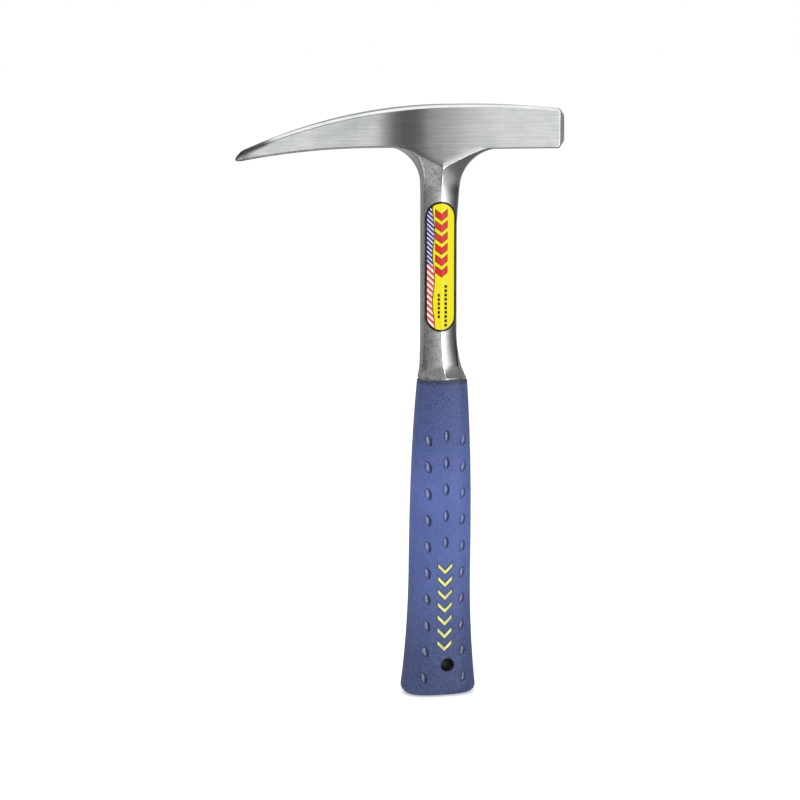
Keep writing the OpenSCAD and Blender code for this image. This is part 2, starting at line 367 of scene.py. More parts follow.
head = {"pickReach": 113.2, "faceReach": 69.8, "thickness": 22.0, "depth": 24.4, "pickDrop": 24.2,
        "tipHeight": 5.8, "tipLength": 4.0, "halfTip": 0.55, "tipNarrow": 0.75, "pointRise": 1.4,
        "faceBevel": 3.2, "topBevel": 1.6, "underBevel": 0.9, "bevelShare": 0.62, "edgeRound": 0.42,
        "neckFillet": 19.0, "crownStart": 8.0, "crownEnd": 20.0, "pollCurve": 450.0,
        "underStart": -38.0, "taperStart": -8.0, "taperEase": 30.0,
        "sideBow": 0.42, "bowMiddle": 12.0, "bowLength": 30.0, "pickBow": 0.00024}
shank = {"straight": 72.0, "width": 19.2, "thickness": 13.2, "slope": 0.287, "bevel": 0.7, "step": 0.5,
         "land": 0.15, "bow": 0.19, "neckRise": 28.6, "neckCurve": 44.0, "neckBevel": 0.05,
         "faceTaper": 0.08, "faceTaperLength": 12.0, "sideFlare": 26.7, "frontFlare": 10.0,
         "leastLip": 0.35, "lipShare": 0.85, "lipSlope": 0.5, "faceRoll": 0.28, "pickRoll": 0.08,
         "rollWidth": 6.0, "facetLeast": 1.5, "landStep": 0.05, "sunk": 0.02}
grip = {"length": 178.3, "topWidth": 27.4, "waistWidth": 34.2, "buttWidth": 42.8, "topThickness": 22.0,
        "waistThickness": 26.4, "buttThickness": 29.0, "lean": 2.2, "buttRadius": 5.0, "waistHeight": 70.0,
        "topPower": 2.6, "exponent": 2.7}
tang = {"width": 19.0, "thickness": 7.0, "end": 9.0, "lockBore": 9.0, "lockLow": 52.0, "lockHigh": 132.3,
        "lockCount": 3}
lanyard = {"bore": 7.2, "x": 2.2, "z": 18.0, "wall": 2.0, "mouth": 1.1, "mouthTurn": 78, "clear": 0.6}
drillLength = 20
tangOverlap = 2  # the tang runs this far up into the shoulder

straightStart = grip["length"] + shank["sideFlare"]
neckStart = straightStart + shank["straight"]
underside = neckStart + shank["neckRise"]
crownHeight = underside + head["depth"]
pickUnderside = underside + 1
halfHead = head["thickness"] / 2
tipStart = head["tipLength"] - head["pickReach"]
pickCurve = arcRadius(head["crownStart"] - tipStart, head["pickDrop"])
underCurve = arcRadius(head["underStart"] - tipStart,
                       head["pickDrop"] + head["tipHeight"] - crownHeight + pickUnderside)
faceStart = head["faceReach"] - head["faceBevel"]


def topLine(x):
    if x < head["crownStart"]:
        return crownHeight - sag(pickCurve, head["crownStart"] - x)
    return crownHeight - sag(head["pollCurve"], max(0, x - head["crownEnd"]))


def underLine(x):
    if x < 0:
        return pickUnderside - sag(underCurve, max(0, head["underStart"] - x))
    return underside


def halfAt(x):
    away = x - head["bowMiddle"]
    if away > 0:
        return halfHead - head["sideBow"] * (1 - math.exp(-(away / head["bowLength"]) ** 2))
    if x > head["taperStart"]:
        return halfHead - head["pickBow"] * away * away
    flat, ease = head["bowMiddle"] - head["taperStart"], head["taperEase"]
    start, gentle = halfHead - head["pickBow"] * flat * flat, 2 * head["pickBow"] * flat
    whole, run = head["pickReach"] + head["taperStart"], head["taperStart"] - x
    full = (start - head["halfTip"] - gentle * ease / 2) / (whole - ease / 2)
    if run < ease:
        return start - gentle * run - (full - gentle) * run * run / (2 * ease)
    return max(head["halfTip"], start - (gentle + full) * ease / 2 - full * (run - ease))


flatPoints = {2: 2, 8: 5, 14: 2, 20: 5}  # points added along the four long flats of a head ring


def headLoop(x, half, low, high, under, top):
    corners = [Vector((y, z)) for y, z in (
        (-half + under, low), (half - under, low), (half, low + under), (half, high - top),
        (half - top, high), (-half + top, high), (-half, high - top), (-half, low + under))]
    loop = roundedLoop(corners, [head["edgeRound"]] * 8)
    full = []
    for index, point in enumerate(loop):
        full.append(point)
        following = loop[(index + 1) % len(loop)]
        extra = flatPoints.get(index, 0)
        for step in range(extra):
            full.append(point.lerp(following, (step + 1) / (extra + 1)))
    return [Vector((x, point.x, point.y)) for point in full]


def headStation(x):
    half = halfAt(x)
    limit = head["bevelShare"] * half
    return headLoop(x, half, underLine(x), topLine(x), min(head["underBevel"], limit),
                    min(head["topBevel"], limit))


def tipStation(x, share):
    point = underLine(-head["pickReach"]) + head["pointRise"]
    half = halfAt(x) * blendBetween(1, head["tipNarrow"], share)
    low, high = blendBetween(underLine(x), point, share), blendBetween(topLine(x), point, share)
    bevel = min((high - low) / 4, head["bevelShare"] * half)
    return headLoop(x, half, low, high, bevel, bevel)


def faceStation(x, inset):
    return headLoop(x, halfAt(x) - inset, underLine(faceStart) + inset, topLine(faceStart) - inset,
                    head["topBevel"], head["topBevel"])


def makeHeadShell():
    tipShares = ((0.0, 0.8), (0.08, 0.62), (0.2, 0.45), (0.4, 0.27), (0.65, 0.11), (0.85, 0.03))
    lastStation = faceStart - 1
    rings = [tipStation(blendBetween(-head["pickReach"], tipStart, place), share)
             for place, share in tipShares]
    rings += [headStation(blendBetween(tipStart, head["taperStart"], step / 40)) for step in range(41)]
    rings += [headStation(blendBetween(head["taperStart"], lastStation, step / 24))
              for step in range(1, 25)]
    bevel = head["faceBevel"]
    # the bevel round the striking face, with both of its edges rounded
    bevelPlaces = ((-0.35, 0.0), (-0.1, 0.05), (0.15, 0.22), (0.4, 0.42), (bevel - 0.35, bevel - 0.4),
                   (bevel - 0.12, bevel - 0.15), (bevel - 0.02, bevel + 0.12), (bevel, bevel + 0.4))
    rings += [faceStation(faceStart + along, inset) for along, inset in bevelPlaces]
    return ringSkin("headShell", rings)


def shoulderShare(z, length):
    return clampShare((grip["length"] + length - z) / length) ** 2


shoulderFlare = (grip["topWidth"] - shank["width"]) / 2 - shank["step"]
shoulderSwell = (grip["topThickness"] - shank["thickness"]) / 2 - shank["step"]


def shankHalf(z, side):
    seat, taper = (pickUnderside, 0) if side < 0 else (underside, shank["faceTaper"])
    fillet = head["neckFillet"]
    rise = min(fillet, max(0, z - seat + fillet))
    return (shank["width"] / 2 + sag(fillet, rise)
            + taper * max(0, min(z, seat) - neckStart + shank["faceTaperLength"])
            + shoulderFlare * shoulderShare(z, shank["sideFlare"]))


def ridgeAt(z):
    return (shank["thickness"] / 2 + sag(shank["neckCurve"], max(0, z - neckStart))
            + shoulderSwell * shoulderShare(z, shank["frontFlare"]))


def facetAt(z, x, inner):
    reach = max(0.001, inner - shank["land"])
    share = clampShare((x - shank["land"]) / reach)
    bow = 4 * shank["bow"] * share * (1 - share)
    return ridgeAt(z) - shank["slope"] * max(0, x - shank["land"]) + bow


def shankQuarter(z, side, inset):
    half = shankHalf(z, side)
    bevel = shank["bevel"] + shank["neckBevel"] * max(0, z - neckStart)
    inner = half - bevel
    flare = shoulderShare(z, shank["sideFlare"])
    # where the ground facet stops and the flare begins
    lip = max(shank["leastLip"], shank["lipShare"] * shoulderFlare * flare)
    facetEnd = inner - lip
    land, rolled = shank["land"], shank["faceRoll"] if side > 0 else shank["pickRoll"]
    # in the neck the head's flat cuts the facets off
    while facetAt(z, land, inner) > halfHead - rolled and land < facetEnd - shank["facetLeast"]:
        land += shank["landStep"]
    spread = 0.5 * clampShare(1.3 - land)
    spots = [blendBetween(shank["land"], land, share) + spread * share
             for share in (0, 0.35, 0.68, 0.88, 1)]
    spots += [blendBetween(land + spread + 0.1, facetEnd, index / 10) for index in range(11)]
    sunk = shank["sunk"] if z > underside - 0.1 else 0.0  # keeps the neck's top inside the head
    points = []
    for x in spots:
        # the flat rolls off towards its edge
        roll = rolled * max(0, 1 - max(0, land - x) / shank["rollWidth"]) ** 2
        points.append(Vector((x, min(facetAt(z, x, inner), halfAt(side * x) - sunk - roll))))
    slope = shank["slope"] + shank["lipSlope"] * clampShare(flare * 3)
    ending = points[-1].y
    edge = ending - slope * lip
    points += [Vector((facetEnd + lip * share, ending - slope * lip * share)) for share in (0.5, 1.0)]
    points += [Vector((half - bevel * 0.6, edge - bevel * 0.28)),
               Vector((half - bevel * 0.12, edge - bevel * 0.72)), Vector((half, edge - bevel - 0.25)),
               Vector((half, max(0.4, (edge - bevel) * 0.5))), Vector((half, 0))]
    return [Vector((max(0.02, point.x - inset), point.y - (inset if point.y > 0 else 0)))
            for point in points]


def shankLoop(z, inset=0.0):
    right, left = shankQuarter(z, 1, inset), shankQuarter(z, -1, inset)
    lean = grip["lean"] * shoulderShare(z, shank["sideFlare"])
    front = [Vector((lean + p.x, -p.y, z)) for p in right]
    back = [Vector((lean + p.x, p.y, z)) for p in reversed(right[:-1])]
    backLeft = [Vector((lean - p.x, p.y, z)) for p in left]
    frontLeft = [Vector((lean - p.x, -p.y, z)) for p in reversed(left[:-1])]
    return front + back + backLeft + frontLeft


def makeShankShell():
    start = grip["length"]
    rings = [shankLoop(start, 0.55), shankLoop(start + 0.35, 0.5), shankLoop(start + 0.55, 0.2),
             shankLoop(start + 0.8, 0.05)]
    rings += [shankLoop(start + 1 + 9 * step / 18) for step in range(19)]
    rings += [shankLoop(blendBetween(start + shank["frontFlare"], straightStart, step / 14))
              for step in range(1, 15)]
    rings += [shankLoop(z) for z in (neckStart - shank["faceTaperLength"], neckStart)]
    filletStart = underside - head["neckFillet"] * 0.6
    rings += [shankLoop(blendBetween(neckStart, filletStart, step / 24)) for step in range(1, 25)]
    rings += [shankLoop(blendBetween(filletStart, underside - 0.02, math.sin(math.pi / 2 * step / 22)))
              for step in range(1, 23)]
    rings += [shankLoop(z) for z in (pickUnderside - 0.5, pickUnderside - 0.05, pickUnderside + 1.5)]
    return ringSkin("shankShell", rings)


def rodAlongY(x, z, diameter, length, name):
    bm = bmesh.new()
    bmesh.ops.create_cone(bm, cap_ends=True, segments=64, radius1=diameter / 2, radius2=diameter / 2,
                          depth=length)
    bmesh.ops.rotate(bm, verts=bm.verts, cent=(0, 0, 0), matrix=Matrix.Rotation(math.pi / 2, 3, "X"))
    bmesh.ops.translate(bm, verts=bm.verts, vec=(x, 0, z))
    return shellFrom(name, bm)


def makeTang(top):
    bm = bmesh.new()
    bmesh.ops.create_cube(bm, size=1)
    bmesh.ops.scale(bm, verts=bm.verts, vec=(tang["width"], tang["thickness"], top - tang["end"]))
    bmesh.ops.translate(bm, verts=bm.verts, vec=(0, 0, (top + tang["end"]) / 2))
    bar = shellFrom("tangBar", bm)
    for index in range(tang["lockCount"]):
        z = blendBetween(tang["lockLow"], tang["lockHigh"], index / (tang["lockCount"] - 1))
        solidStep(bar, rodAlongY(0, z, tang["lockBore"], drillLength, "lockHole"), "DIFFERENCE")
    clearance = lanyard["bore"] + 2 * lanyard["wall"]
    rod = rodAlongY(lanyard["x"], lanyard["z"], clearance, drillLength, "lanyardClearance")
    solidStep(bar, rod, "DIFFERENCE")
    return bar


def finishPiece(piece, node, angle=32, weighted=True):
    piece.data.transform(toMetres)
    piece.data.update()
    piece.data.shade_smooth()
    piece.data.set_sharp_from_angle(angle=math.radians(angle))
    if weighted:
        step = piece.modifiers.new("evenNormals", "WEIGHTED_NORMAL")
        step.keep_sharp = True
    if node:
        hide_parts(node)
    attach(piece, "root")


hammer = makeHeadShell()
hammer.name = "forgedHammer"
solidStep(hammer, makeShankShell(), "UNION")
solidStep(hammer, makeTang(grip["length"] + tangOverlap), "UNION")
print("forged head, shank and tang", len(hammer.data.polygons), "faces")


def gripHalf(z, top, waist, butt):
    if z > grip["waistHeight"]:
        up = clampShare((z - grip["waistHeight"]) / (grip["length"] - grip["waistHeight"]))
        return (waist - (waist - top) * up ** grip["topPower"]) / 2
    down = (grip["waistHeight"] - z) / grip["waistHeight"]
    return (waist + (butt - waist) * down * down) / 2


def gripHalfWidth(z):
    return gripHalf(z, grip["topWidth"], grip["waistWidth"], grip["buttWidth"])


def gripHalfDepth(z):
    return gripHalf(z, grip["topThickness"], grip["waistThickness"], grip["buttThickness"])


def gripMiddle(z):
    return grip["lean"] * z / grip["length"]


dimple = {"length": 7.6, "width": 4.0, "depth": 1.1, "sideRows": 10, "middleRows": 5, "sideLow": 10.9,
          "sideTop": 145.0, "middleTop": 147.4, "column": 9.9, "spread": 2.3, "spreadRows": 3,
          "lean": 14.0, "wall": 0.42, "tilt": 0.17, "hollow": 0.06}
dimplePitch = (dimple["sideTop"] - dimple["sideLow"]) / (dimple["sideRows"] - 1)


def dimplePlaces():
    places = [(0.0, dimple["middleTop"] - row * dimplePitch, 0.0) for row in range(dimple["middleRows"])]
    for row in range(dimple["sideRows"]):
        low = max(0, row - dimple["sideRows"] + dimple["spreadRows"]) / dimple["spreadRows"]
        spread = low * dimple["spread"]
        for side in (-1, 1):
            places.append((side * (dimple["column"] + spread), dimple["sideTop"] - row * dimplePitch,
                           side * math.radians(dimple["lean"])))
    return places


dimpleSpots = dimplePlaces()


def surfaceDepth(x, z):
    share = min(0.999, abs(x - gripMiddle(z)) / gripHalfWidth(z))
    return gripHalfDepth(z) * (1 - share ** grip["exponent"]) ** (1 / grip["exponent"])


def recessAt(x, z):
    for spotX, spotZ, lean in dimpleSpots:
        offsetX, offsetZ = x - gripMiddle(spotZ) - spotX, z - spotZ
        if abs(offsetZ) < 4.6 and abs(offsetX) < 3.6:
            along = offsetZ * math.cos(lean) + offsetX * math.sin(lean)
            across = offsetX * math.cos(lean) - offsetZ * math.sin(lean)
            share = abs(along) / (dimple["length"] / 2)
            if share < 1:
                width = dimple["width"] / 2 * (1 - share * share)
                place = abs(across) / max(width, 0.01)
                if place < 1:
                    wall = clampShare((1 - place) / dimple["wall"])
                    end = clampShare((1 - share) / dimple["wall"])
                    mask = (wall * wall * (3 - 2 * wall)) * (end * end * (3 - 2 * end))
                    middle = surfaceDepth(gripMiddle(spotZ) + spotX, spotZ)
                    bend = dimple["tilt"] * offsetX - dimple["hollow"] * offsetX ** 2
                    floor = middle - dimple["depth"] - bend
                    return mask, floor
    return 0.0, 0.0


gripMesh = {"sides": 208, "rowStep": 0.52, "topRound": 0.8}


def gripLoop(z, inset=0.0, carve=True):
    a, b = gripHalfWidth(z) - inset, gripHalfDepth(z) - inset
    power = grip["exponent"]
    loop = []
    for index in range(gripMesh["sides"]):
        turn = 2 * math.pi * index / gripMesh["sides"]
        c, s = math.cos(turn), math.sin(turn)
        reach = (abs(c / a) ** power + abs(s / b) ** power) ** (-1 / power)
        x, y = gripMiddle(z) + reach * c, reach * s
        if carve and abs(s) > 0.25:
            mask, floor = recessAt(x, z)
            y = math.copysign(min(abs(y), blendBetween(abs(y), floor, mask)), y)
        loop.append(Vector((x, y, z)))
    return loop


def makeGripShell():
    radius, length, top = grip["buttRadius"], grip["length"], gripMesh["topRound"]
    rings = []
    for inset in (11, 8.5, 6.5):
        rings.append(gripLoop(0, inset, False))
    for step in range(13):
        turn = math.pi / 2 * step / 12
        rings.append(gripLoop(radius * (1 - math.cos(turn)), radius * (1 - math.sin(turn)), step > 6))
    count = int((length - top - radius) / gripMesh["rowStep"])
    rings += [gripLoop(blendBetween(radius, length - top, step / count)) for step in range(1, count + 1)]
    for step in range(1, 6):
        turn = math.pi / 2 * step / 5
        rings.append(gripLoop(length - top + top * math.sin(turn), top * (1 - math.cos(turn)), False))
    rings.append(gripLoop(length, 2.5, False))
    return ringSkin("moldedGrip", rings)


def makeBoreCutter():
    surface = gripHalfDepth(lanyard["z"])
    radius, mouth = lanyard["bore"] / 2, lanyard["mouth"]
    outline = [(0, 0), (radius, 0), (radius, surface * 0.5), (radius, surface - mouth)]
    for step in range(1, 7):
        turn = math.radians(lanyard["mouthTurn"]) * step / 6
        outline.append((radius + mouth * (1 - math.cos(turn)), surface - mouth + mouth * math.sin(turn)))
    outline += [(radius + mouth + 2 * lanyard["clear"], surface + lanyard["clear"]),
                (0, surface + lanyard["clear"])]
    bm = bmesh.new()
    verts = [bm.verts.new((r, y, 0)) for r, y in outline]
    edges = [bm.edges.new(pair) for pair in zip(verts, verts[1:])]
    bmesh.ops.spin(bm, geom=verts + edges, cent=(0, 0, 0), axis=(0, 1, 0), angle=2 * math.pi, steps=72,
                   use_merge=True, use_normal_flip=False, use_duplicate=False)
    bmesh.ops.mirror(bm, geom=bm.verts[:] + bm.edges[:] + bm.faces[:], axis="Y", merge_dist=0.0005)
    bmesh.ops.remove_doubles(bm, verts=bm.verts, dist=0.0005)
    inner = [face for face in bm.faces if face.calc_center_median().length < radius * 1.1
             and abs(face.calc_center_median().y) < 0.001]
    bmesh.ops.delete(bm, geom=inner, context="FACES")
    bmesh.ops.recalc_face_normals(bm, faces=bm.faces)
    bmesh.ops.translate(bm, verts=bm.verts, vec=(lanyard["x"], 0, lanyard["z"]))
    return shellFrom("boreCutter", bm)


handleGrip = makeGripShell()
handleGrip.name = "moldedGrip"
solidStep(handleGrip, makeBoreCutter(), "DIFFERENCE")
solidStep(handleGrip, makeTang(grip["length"] + tangOverlap), "DIFFERENCE")


def storeRecess(piece):
    layer = piece.data.attributes.new("recess", "FLOAT", "POINT")
    values = []
    for vert in piece.data.vertices:
        x, y, z = vert.co
        onFace = abs(y) > gripHalfDepth(z) * 0.45
        values.append(recessAt(x, z)[0] if onFace else 0.0)
    layer.data.foreach_set("value", values)


storeRecess(handleGrip)
print("moulded grip", len(handleGrip.data.polygons), "faces")


label = {"length": 72.0, "width": 17.6, "film": 0.2, "height": straightStart + shank["straight"] / 2,
         "acrossCuts": 40, "arcRows": 16, "straightRows": 30, "arcTurn": 87, "gap": 0.02}


def makeLabel():
    radius = label["width"] / 2
    straight = label["length"] / 2 - radius
    inner = shank["width"] / 2 - shank["bevel"]
    turns = [math.radians(label["arcTurn"]) * step / label["arcRows"]
             for step in range(label["arcRows"], 0, -1)]
    rows = [(-straight - radius * math.sin(turn), radius * math.cos(turn)) for turn in turns]
    rows += [(blendBetween(-straight, straight, step / label["straightRows"]), radius)
             for step in range(label["straightRows"] + 1)]
    rows += [(straight + radius * math.sin(turn), radius * math.cos(turn)) for turn in reversed(turns)]
    bm = bmesh.new()
    bmesh.ops.create_grid(bm, x_segments=label["acrossCuts"], y_segments=len(rows) - 1, size=1)
    for vert in bm.verts:
        row = round((vert.co.y + 1) / 2 * (len(rows) - 1))
        z, half = rows[row]
        x = vert.co.x * half
        y = -facetAt(label["height"], abs(x), inner) - label["gap"]
        vert.co = (x, y, label["height"] + z)
    bmesh.ops.recalc_face_normals(bm, faces=bm.faces)
    if sum(face.normal.y for face in bm.faces) > 0:
        bmesh.ops.reverse_faces(bm, faces=bm.faces)
    bmesh.ops.solidify(bm, geom=bm.faces[:], thickness=-(label["film"] - label["gap"]))
    bmesh.ops.recalc_face_normals(bm, faces=bm.faces)
    return shellFrom("shankLabel", bm)


shankLabel = makeLabel()
print("label", len(shankLabel.data.polygons), "faces")


# shared effects, as node groups
def newGroup(name, inputs, outputs):
    group = bpy.data.node_groups.new(name, "ShaderNodeTree")
    for socketName, kind, value in inputs:
        socket = group.interface.new_socket(name=socketName, in_out="INPUT", socket_type=kind)
        if value is not None:
            socket.default_value = value
    for socketName, kind in outputs:
        group.interface.new_socket(name=socketName, in_out="OUTPUT", socket_type=kind)
    return group, addNode(group, "NodeGroupInput"), addNode(group, "NodeGroupOutput")


def useGroup(tree, group, **values):
    node = addNode(tree, "ShaderNodeGroup", node_tree=group)
    for name, value in values.items():
        plug(tree, node.inputs[name], value)
    return node


def makeEdgeWear():
    group, given, result = newGroup(
        "edgeWear", (("place", "NodeSocketVector", None), ("low", "NodeSocketFloat", 0.52),
                     ("high", "NodeSocketFloat", 0.6), ("patches", "NodeSocketFloat", 140.0)),
        (("edge", "NodeSocketFloat"), ("crease", "NodeSocketFloat")))
    pointed = addNode(group, "ShaderNodeNewGeometry").outputs["Pointiness"]
    patchy = noise(group, given.outputs["place"], given.outputs["patches"], 3.0, 0.6)
    edge = ramp(group, pointed, given.outputs["low"], given.outputs["high"])
    broken = times(group, edge, ramp(group, patchy, 0.35, 0.62))
    # the crease mask finds concave creases; the steel darkens them as painted shade
    crease = ramp(group, pointed, 0.45, 0.4)
    plug(group, result.inputs["edge"], broken)
    plug(group, result.inputs["crease"], crease)
    return group


def makeFineGrain():
    group, given, result = newGroup(
        "fineGrain", (("place", "NodeSocketVector", None), ("scale", "NodeSocketFloat", 900.0),
                      ("smudge", "NodeSocketFloat", 30.0)),
        (("height", "NodeSocketFloat"), ("tone", "NodeSocketFloat")))
    grain = noise(group, given.outputs["place"], given.outputs["scale"], 3.0, 0.55)
    cells = addNode(group, "ShaderNodeTexVoronoi", feature="F1")
    plug(group, cells.inputs["Vector"], given.outputs["place"])
    plug(group, cells.inputs["Scale"], times(group, given.outputs["scale"], 0.9))
    height = timesPlus(group, cells.outputs["Distance"], 0.6, grain)
    plug(group, result.inputs["height"], height)
    smudges = noise(group, given.outputs["place"], given.outputs["smudge"], 4.0, 0.6, 0.4)
    plug(group, result.inputs["tone"], smudges)
    return group


edgeWear, fineGrain = makeEdgeWear(), makeFineGrain()


def newMaterial(name):
    material = bpy.data.materials.new(name)
    material.use_nodes = True
    tree = material.node_tree
    surface = tree.nodes["Principled BSDF"]
    place = addNode(tree, "ShaderNodeTexCoord").outputs["Object"]
    return material, tree, surface, place


def addBump(tree, surface, height, strength, distance):
    bump = addNode(tree, "ShaderNodeBump")
    plug(tree, bump.inputs["Strength"], strength)
    plug(tree, bump.inputs["Distance"], distance)
    plug(tree, bump.inputs["Height"], height)
    plug(tree, surface.inputs["Normal"], bump.outputs[0])


steelLook = {
    "bright": linear(232, 235, 232), "dull": linear(214, 218, 214), "creaseShade": linear(70, 72, 70),
    "streak": linear(120, 124, 122), "mottle": linear(112, 115, 112), "seam": linear(34, 35, 34),
    "tip": linear(40, 41, 38), "cloudScale": 42.0, "creaseShadeShare": 0.6,
    "seamLow": -0.11, "seamHigh": 0.03, "seamSoft": 0.04,
    "tipFrom": -0.1, "tipTo": -0.113, "tipShare": 0.8, "tipScale": 300.0,
    "topSlope": 0.43, "topLow": 0.348556, "topHigh": 0.350956, "topShare": 0.92,
    "brushed": (28, 300, 2600), "scratched": (60, 200, 1400), "scratchTurn": 0.06,
    "peenScale": 620.0, "dentScale": 140.0, "reliefDepth": 0.00002}


def steelColour(tree, place, wear):
    look = steelLook
    clouds = noise(tree, place, look["cloudScale"], 4.0, 0.6, 0.3)
    tone = mixColours(tree, ramp(tree, clouds, 0.35, 0.7), look["bright"], look["dull"])
    # painted shade: the steel's concave creases are darkened
    crease = times(tree, wear.outputs["crease"], look["creaseShadeShare"])
    tone = mixColours(tree, crease, tone, look["creaseShade"])
    across = axes(tree, place)
    # slivers of dark beside the points numbered 0
    numbered = addNode(tree, "ShaderNodeAttribute", attribute_name="ringPoint").outputs["Fac"]
    seam = times(tree,
                 between(tree, numbered, look["seamLow"], look["seamHigh"], look["seamSoft"]),
                 ramp(tree, across[0], -0.001, 0.004, 0.3, 0.95))
    tone = mixColours(tree, seam, tone, look["seam"])
    # the dark upper edge of the tip, then the dark tip itself
    upper = timesPlus(tree, across[0], -look["topSlope"], across[2])
    alongTop = times(tree, ramp(tree, upper, look["topLow"], look["topHigh"]),
                     ramp(tree, across[0], -0.09, -0.099))
    tone = mixColours(tree, times(tree, alongTop, look["topShare"]), tone, look["tip"])
    atTip = ramp(tree, across[0], look["tipFrom"], look["tipTo"])
    speckled = ramp(tree, noise(tree, place, look["tipScale"], 3.0), 0.25, 0.6, 0.4, 1.0)
    ragged = times(tree, atTip, speckled)
    return mixColours(tree, times(tree, ragged, look["tipShare"]), tone, look["tip"]), clouds


def finishSteel(tree, surface, wear, clouds, shade, leastRough, edgeRough):
    plug(tree, surface.inputs["Base Color"], shade)
    plug(tree, surface.inputs["Metallic"], 1.0)
    rough = timesPlus(tree, clouds, 0.08, leastRough)
    rough = timesPlus(tree, wear.outputs["edge"], edgeRough, rough)
    plug(tree, surface.inputs["Roughness"], rough)


def makeBrushedSteel():
    material, tree, surface, place = newMaterial("brushedSteel")
    wear = useGroup(tree, edgeWear, place=place)
    colour, clouds = steelColour(tree, place, wear)
    lines = noise(tree, stretched(tree, place, scale=steelLook["brushed"]), 1.0, 3.0, 0.6)
    turned = stretched(tree, place, (0, steelLook["scratchTurn"], 0), steelLook["scratched"])
    streak = timesPlus(tree, noise(tree, turned, 1.0, 2.0, 0.7), 0.5, lines)
    shade = mixColours(tree, ramp(tree, streak, 0.45, 1.05, 0.0, 0.28), colour, steelLook["streak"])
    finishSteel(tree, surface, wear, clouds, shade, 0.1, -0.06)
    addBump(tree, surface, streak, 0.25, steelLook["reliefDepth"])
    return material


def makePolishedSteel():
    material, tree, surface, place = newMaterial("polishedSteel")
    wear = useGroup(tree, edgeWear, place=place)
    colour, clouds = steelColour(tree, place, wear)
    peened = noise(tree, place, steelLook["peenScale"], 3.0, 0.65, 0.8)
    parts = axes(tree, place)
    # the facets towards the pick are the rougher ones
    left = ramp(tree, parts[0], 0.0004, -0.0006, 0.15, 1.0)
    mottled = times(tree, ramp(tree, peened, 0.42, 0.66, 0.0, 0.5), left)
    shade = mixColours(tree, mottled, colour, steelLook["mottle"])
    finishSteel(tree, surface, wear, clouds, shade, 0.08, -0.04)
    dents = noise(tree, place, steelLook["dentScale"], 2.0)
    addBump(tree, surface, timesPlus(tree, peened, 0.6, dents), 0.2, steelLook["reliefDepth"])
    return material


vinylLook = {
    "blue": linear(84, 103, 172), "deep": linear(70, 88, 154), "scuffed": linear(124, 136, 178),
    # the colours for the dimple walls and the grip's ends are painted shade
    "dimpleShade": linear(20, 25, 52), "end": linear(32, 42, 70), "topShadow": linear(30, 36, 52),
    # the bore colours are painted shade for the inside of the lanyard hole
    "boreShadeDark": linear(22, 24, 34), "boreShadeLight": linear(38, 42, 60),
    "litMiddleLow": 0.055, "litMiddleHigh": 0.15, "litMiddleSoft": 0.045, "endShadeShare": 0.74,
    "rimLow": 0.1752, "rimHigh": 0.177, "rimShare": 0.85, "wornShare": 0.35,
    "speckScale": 1700.0, "speckShare": 0.34, "specular": 0.4, "dimpleGloss": 0.75, "coatRough": 0.15,
    "reliefDepth": 0.00015, "boreDepth": 0.0001}


def makeGripVinyl():
    material, tree, surface, place = newMaterial("gripVinyl")
    look = vinylLook
    wear = useGroup(tree, edgeWear, place=place, low=0.515, high=0.56, patches=220.0)
    grain = useGroup(tree, fineGrain, place=place, scale=1500.0, smudge=24.0)
    tone = mixColours(tree, ramp(tree, grain.outputs["tone"], 0.35, 0.68), look["blue"], look["deep"])
    worn = times(tree, wear.outputs["edge"], look["wornShare"])
    tone = mixColours(tree, worn, tone, look["scuffed"])
    parts = axes(tree, place)
    # painted shade: the colour darkens towards both ends of the grip, where less light falls
    litMiddle = between(tree, parts[2], look["litMiddleLow"], look["litMiddleHigh"], look["litMiddleSoft"])
    shadedEnds = timesPlus(tree, litMiddle, -look["endShadeShare"], look["endShadeShare"])
    tone = mixColours(tree, shadedEnds, tone, look["end"])
    topRim = ramp(tree, parts[2], look["rimLow"], look["rimHigh"], 0.0, look["rimShare"])
    tone = mixColours(tree, topRim, tone, look["topShadow"])
    hollow = addNode(tree, "ShaderNodeAttribute", attribute_name="recess").outputs["Fac"]
    wall = times(tree, ramp(tree, hollow, 0.02, 0.35), ramp(tree, hollow, 0.75, 1.0, 1.0, 0.45))
    facing = axes(tree, addNode(tree, "ShaderNodeNewGeometry").outputs["Normal"])
    # painted shade: the dimple walls are darkened, and the far wall of a dimple is the darker one
    shaded = ramp(tree, facing[0], 0.22, -0.12, 0.25, 1.0)
    tone = mixColours(tree, times(tree, wall, shaded), tone, look["dimpleShade"])
    speck = noise(tree, place, look["speckScale"], 2.0, 0.6)
    tone = mixColours(tree, ramp(tree, speck, 0.42, 0.66, 0.0, look["speckShare"]), tone, look["scuffed"])
    plug(tree, surface.inputs["Base Color"], tone)
    plug(tree, surface.inputs["Specular IOR Level"], look["specular"])
    rough = timesPlus(tree, grain.outputs["tone"], 0.16, 0.36)
    plug(tree, surface.inputs["Roughness"], timesPlus(tree, hollow, -0.22, rough))
    plug(tree, surface.inputs["Coat Weight"], times(tree, hollow, look["dimpleGloss"]))
    plug(tree, surface.inputs["Coat Roughness"], look["coatRough"])
    addBump(tree, surface, grain.outputs["height"], 0.35, look["reliefDepth"])
    return material


def makeBoreShadeVinyl():
    material, tree, surface, place = newMaterial("boreShadeVinyl")
    grain = useGroup(tree, fineGrain, place=place, scale=900.0, smudge=60.0)
    # painted shade: the lanyard hole's wall is coloured dark, standing in for the shade inside the hole
    tone = mixColours(tree, grain.outputs["tone"], vinylLook["boreShadeDark"], vinylLook["boreShadeLight"])
    plug(tree, surface.inputs["Base Color"], tone)
    plug(tree, surface.inputs["Roughness"], timesPlus(tree, grain.outputs["tone"], 0.2, 0.4))
    addBump(tree, surface, grain.outputs["height"], 0.3, vinylLook["boreDepth"])
    return material


